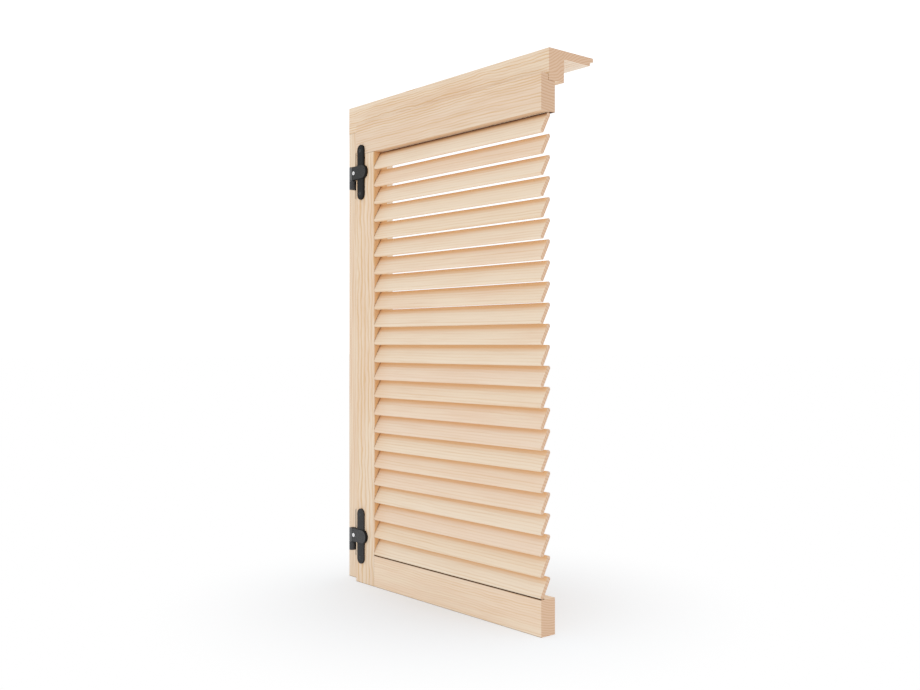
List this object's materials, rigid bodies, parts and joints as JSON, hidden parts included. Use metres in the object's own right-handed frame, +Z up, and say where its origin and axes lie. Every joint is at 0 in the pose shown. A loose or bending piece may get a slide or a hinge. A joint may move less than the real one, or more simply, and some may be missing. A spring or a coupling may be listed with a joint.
{
  "type": "louvred shutter",
  "caption": "Pine shutter leaf with fixed sloping slats, hung by two black strap hinges in the head and jamb of its timber frame, sawn through on one side to show the sections.",
  "frame": {"origin": "at the foot of the part, in the middle of its box seen from above", "axes": "+X along the wall from the hung side to the sawn side, +Y into the wall, +Z up"},
  "size_m": [0.811, 0.1864, 1.3535],
  "materials": {
    "frame_pine": "clear matt oil on planed pine",
    "leaf_pine": "clear matt oil on planed pine",
    "slat_pine": "clear matt oil on planed pine",
    "black_coat": "matt black powder coat",
    "pin_steel": "ground",
    "bright_zinc": "bright zinc plate"
  },
  "bodies": {
    "frame": {"frame_head": "frame_pine", "frame_jamb": "frame_pine", "head_lining": "frame_pine", "jamb_lining": "frame_pine", "base_screws": "black_coat", "upper_hinge_base": "black_coat", "upper_hinge_pin": "pin_steel", "lower_hinge_base": "black_coat", "lower_hinge_pin": "pin_steel"},
    "leaf": {"leaf_stile": "leaf_pine", "leaf_top_rail": "leaf_pine", "leaf_bottom_rail": "leaf_pine", "slat_01": "slat_pine", "slat_02": "slat_pine", "slat_03": "slat_pine", "slat_04": "slat_pine", "slat_05": "slat_pine", "slat_06": "slat_pine", "slat_07": "slat_pine", "slat_08": "slat_pine", "slat_09": "slat_pine", "slat_10": "slat_pine", "slat_11": "slat_pine", "slat_12": "slat_pine", "slat_13": "slat_pine", "slat_14": "slat_pine", "slat_15": "slat_pine", "slat_16": "slat_pine", "slat_17": "slat_pine", "slat_18": "slat_pine", "slat_19": "slat_pine", "slat_20": "slat_pine", "slat_21": "slat_pine", "slat_22": "slat_pine", "slat_23": "slat_pine", "bar_screws": "black_coat", "adjusting_screws": "bright_zinc", "upper_hinge_strap": "black_coat", "upper_hinge_bar": "black_coat", "lower_hinge_strap": "black_coat", "lower_hinge_bar": "black_coat"}
  },
  "joints": [
    {"name": "leaf_swing", "type": "hinge", "parent": "frame", "child": "leaf", "pos_m": [-0.3488, -0.08425, 0], "axis": [0, 0, -1], "range_deg": [0, 180]}
  ]
}
